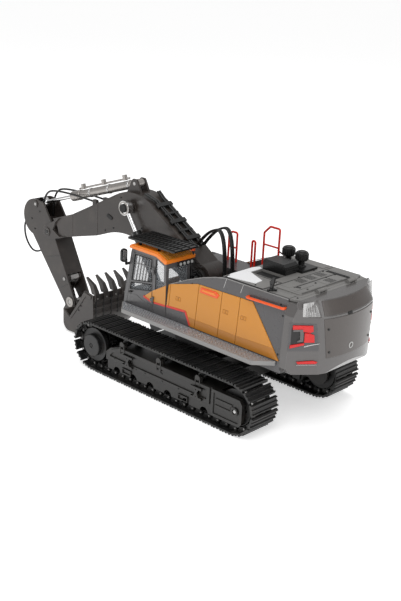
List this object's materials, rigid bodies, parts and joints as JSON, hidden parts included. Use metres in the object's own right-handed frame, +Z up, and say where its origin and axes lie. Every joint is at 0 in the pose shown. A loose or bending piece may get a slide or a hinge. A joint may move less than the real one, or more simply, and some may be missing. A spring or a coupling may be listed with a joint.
{
  "type": "radio-controlled excavator",
  "caption": "Radio-controlled tracked excavator model with slewing house, cab, opening engine deck, boom, stick and curling bucket.",
  "frame": {"origin": "on the ground, under the slewing axis", "axes": "+X forward to the digging arm, +Y left (cab side), +Z up"},
  "size_m": [0.5152, 0.172, 0.2012],
  "materials": {
    "track_black": "black moulded plastic with grey wear on the grousers",
    "frame_black": "black satin plastic",
    "band_grey": "satin dark grey plastic",
    "tail_grey": "satin grey-brown plastic",
    "deck_grey": "satin mid-grey plastic",
    "cab_grey": "satin dark grey plastic",
    "roof_orange": "glossy orange plastic",
    "rail_red": "red paint",
    "rail_orange": "orange paint",
    "arm_brown": "satin dark brown-grey plastic",
    "cylinder_grey": "machined silver tube",
    "rod_steel": "bright rod",
    "steel": "plain steel",
    "checker_silver": "silver checker plate",
    "lamp_red": "clear red lens",
    "window": "smoked clear plastic",
    "hose_black": "black rubber",
    "cleaner_black": "black plastic",
    "seat_brown": "brown plastic",
    "battery_blue": "blue shrink wrap",
    "board_green": "green circuit board",
    "motor_steel": "grey gearbox and motor can",
    "bucket_grey": "worn grey plastic"
  },
  "bodies": {
    "undercarriage": {"track_shoes_left": "track_black", "track_shoes_right": "track_black", "track_pins": "steel", "side_frame_left": "frame_black", "side_frame_right": "frame_black", "track_rollers": "frame_black", "side_steps": "frame_black", "travel_gearboxes": "frame_black", "car_body": "frame_black", "slew_ring": "frame_black"},
    "drive_left": {"sprocket_left": "frame_black"},
    "drive_right": {"sprocket_right": "frame_black"},
    "idle_left": {"idler_left": "frame_black"},
    "idle_right": {"idler_right": "frame_black"},
    "house": {"house_floor": "frame_black", "slew_motor": "motor_steel", "battery": "battery_blue", "circuit_board": "board_green", "side_shell_left": "band_grey", "side_shell_right": "band_grey", "engine_deck": "deck_grey", "counterweight": "tail_grey", "tail_lights": "lamp_red", "walkways": "checker_silver", "grab_rails": "rail_orange", "guard_rails": "rail_red", "intake_box": "frame_black", "pre_cleaners": "cleaner_black", "cab_frame": "cab_grey", "cab_windows": "window", "cab_roof": "roof_orange", "roof_guard": "frame_black", "seat": "seat_brown", "control_console": "frame_black", "cab_mirror": "frame_black", "house_hoses": "hose_black"},
    "slew_gear": {"slew_pinion": "steel"},
    "hatch": {"deck_hatch": "deck_grey"},
    "latch": {"deck_latch": "cleaner_black"},
    "door": {"cab_door": "cab_grey", "door_glass": "window"},
    "switch": {"power_switch": "frame_black"},
    "boom": {"boom_half_left": "arm_brown", "boom_half_right": "arm_brown", "boom_pipes": "frame_black", "boom_pins": "steel", "stick_hoses": "hose_black"},
    "boom_cylinder": {"boom_barrels": "cylinder_grey"},
    "boom_rod": {"boom_rods": "rod_steel"},
    "stick": {"stick_frame": "arm_brown", "stick_pins": "steel", "bucket_drive": "motor_steel", "front_hose": "hose_black"},
    "stick_cylinder": {"stick_barrel": "cylinder_grey"},
    "stick_piston": {"stick_rod": "rod_steel"},
    "rocker": {"rocker_link": "arm_brown"},
    "link": {"h_link": "arm_brown"},
    "bucket": {"bucket": "bucket_grey", "bucket_teeth": "bucket_grey"}
  },
  "joints": [
    {"name": "left_sprocket_spin", "type": "hinge", "parent": "undercarriage", "child": "drive_left", "pos_m": [0.1053, 0.067, 0.0282], "axis": [0, 1, 0], "continuous": true},
    {"name": "right_sprocket_spin", "type": "hinge", "parent": "undercarriage", "child": "drive_right", "pos_m": [0.1053, -0.067, 0.0282], "axis": [0, 1, 0], "continuous": true},
    {"name": "left_idler_spin", "type": "hinge", "parent": "undercarriage", "child": "idle_left", "pos_m": [-0.1053, 0.067, 0.0282], "axis": [0, 1, 0], "continuous": true},
    {"name": "right_idler_spin", "type": "hinge", "parent": "undercarriage", "child": "idle_right", "pos_m": [-0.1053, -0.067, 0.0282], "axis": [0, 1, 0], "continuous": true},
    {"name": "slew", "type": "hinge", "parent": "undercarriage", "child": "house", "pos_m": [0, 0, 0.058], "axis": [0, 0, 1], "continuous": true},
    {"name": "pinion_spin", "type": "hinge", "parent": "house", "child": "slew_gear", "pos_m": [-0.022, 0, 0.06], "axis": [0, 0, 1], "continuous": true},
    {"name": "boom_swing", "type": "hinge", "parent": "house", "child": "boom", "pos_m": [0.012, 0, 0.116], "axis": [0, -1, 0], "range_deg": [-16, 18], "deforming": ["house_hoses"]},
    {"name": "boom_cylinder_tilt", "type": "hinge", "parent": "house", "child": "boom_cylinder", "pos_m": [0.058, 0, 0.08], "axis": [0, -1, 0], "range_deg": [-16, 17.6]},
    {"name": "boom_rod_slide", "type": "slide", "parent": "boom_cylinder", "child": "boom_rod", "axis": [0.5753, 0, 0.818], "range_m": [-0.0166, 0.0185]},
    {"name": "stick_swing", "type": "hinge", "parent": "boom", "child": "stick", "pos_m": [0.27, 0, 0.109], "axis": [0, -1, 0], "range_deg": [-5, 30], "deforming": ["stick_hoses"]},
    {"name": "stick_cylinder_tilt", "type": "hinge", "parent": "boom", "child": "stick_cylinder", "pos_m": [0.124, 0, 0.196], "axis": [0, -1, 0], "range_deg": [-0.02, 0.08]},
    {"name": "stick_rod_slide", "type": "slide", "parent": "stick_cylinder", "child": "stick_piston", "axis": [0.9476, 0, -0.3195], "range_m": [-0.0205, 0.004]},
    {"name": "bucket_curl", "type": "hinge", "parent": "stick", "child": "bucket", "pos_m": [0.229, 0, 0.028], "axis": [0, -1, 0], "range_deg": [0, 90]},
    {"name": "rocker_turn", "type": "hinge", "parent": "stick", "child": "rocker", "pos_m": [0.24, 0, 0.055], "axis": [0, -1, 0], "range_deg": [0, 90]},
    {"name": "link_turn", "type": "hinge", "parent": "rocker", "child": "link", "pos_m": [0.251, 0, 0.04], "axis": [0, -1, 0], "range_deg": [-90, 0]},
    {"name": "hatch_lift", "type": "hinge", "parent": "house", "child": "hatch", "pos_m": [-0.15, 0, 0.1476], "axis": [0, -1, 0], "range_deg": [0, 75]},
    {"name": "latch_turn", "type": "hinge", "parent": "house", "child": "latch", "pos_m": [-0.116, 0.0506, 0.148], "axis": [0, 0, 1], "range_deg": [0, 90]},
    {"name": "door_swing", "type": "hinge", "parent": "house", "child": "door", "pos_m": [0.0316, 0.06395, 0.112], "axis": [0, 0, 1], "range_deg": [0, 95]},
    {"name": "switch_slide", "type": "slide", "parent": "house", "child": "switch", "axis": [1, 0, 0], "range_m": [0, 0.004]}
  ],
  "couplings": [
    {"joint": "left_idler_spin", "follows": "left_sprocket_spin", "ratio": 1},
    {"joint": "right_idler_spin", "follows": "right_sprocket_spin", "ratio": 1},
    {"joint": "pinion_spin", "follows": "slew", "ratio": -4.6667},
    {"joint": "boom_cylinder_tilt", "follows": "boom_swing", "ratio": 0.9348},
    {"joint": "boom_rod_slide", "follows": "boom_swing", "m_per_rad": 0.05685},
    {"joint": "stick_cylinder_tilt", "follows": "stick_swing", "ratio": 0.0024},
    {"joint": "stick_rod_slide", "follows": "stick_swing", "m_per_rad": -0.03751},
    {"joint": "rocker_turn", "follows": "bucket_curl", "ratio": 1},
    {"joint": "link_turn", "follows": "bucket_curl", "ratio": -1}
  ]
}
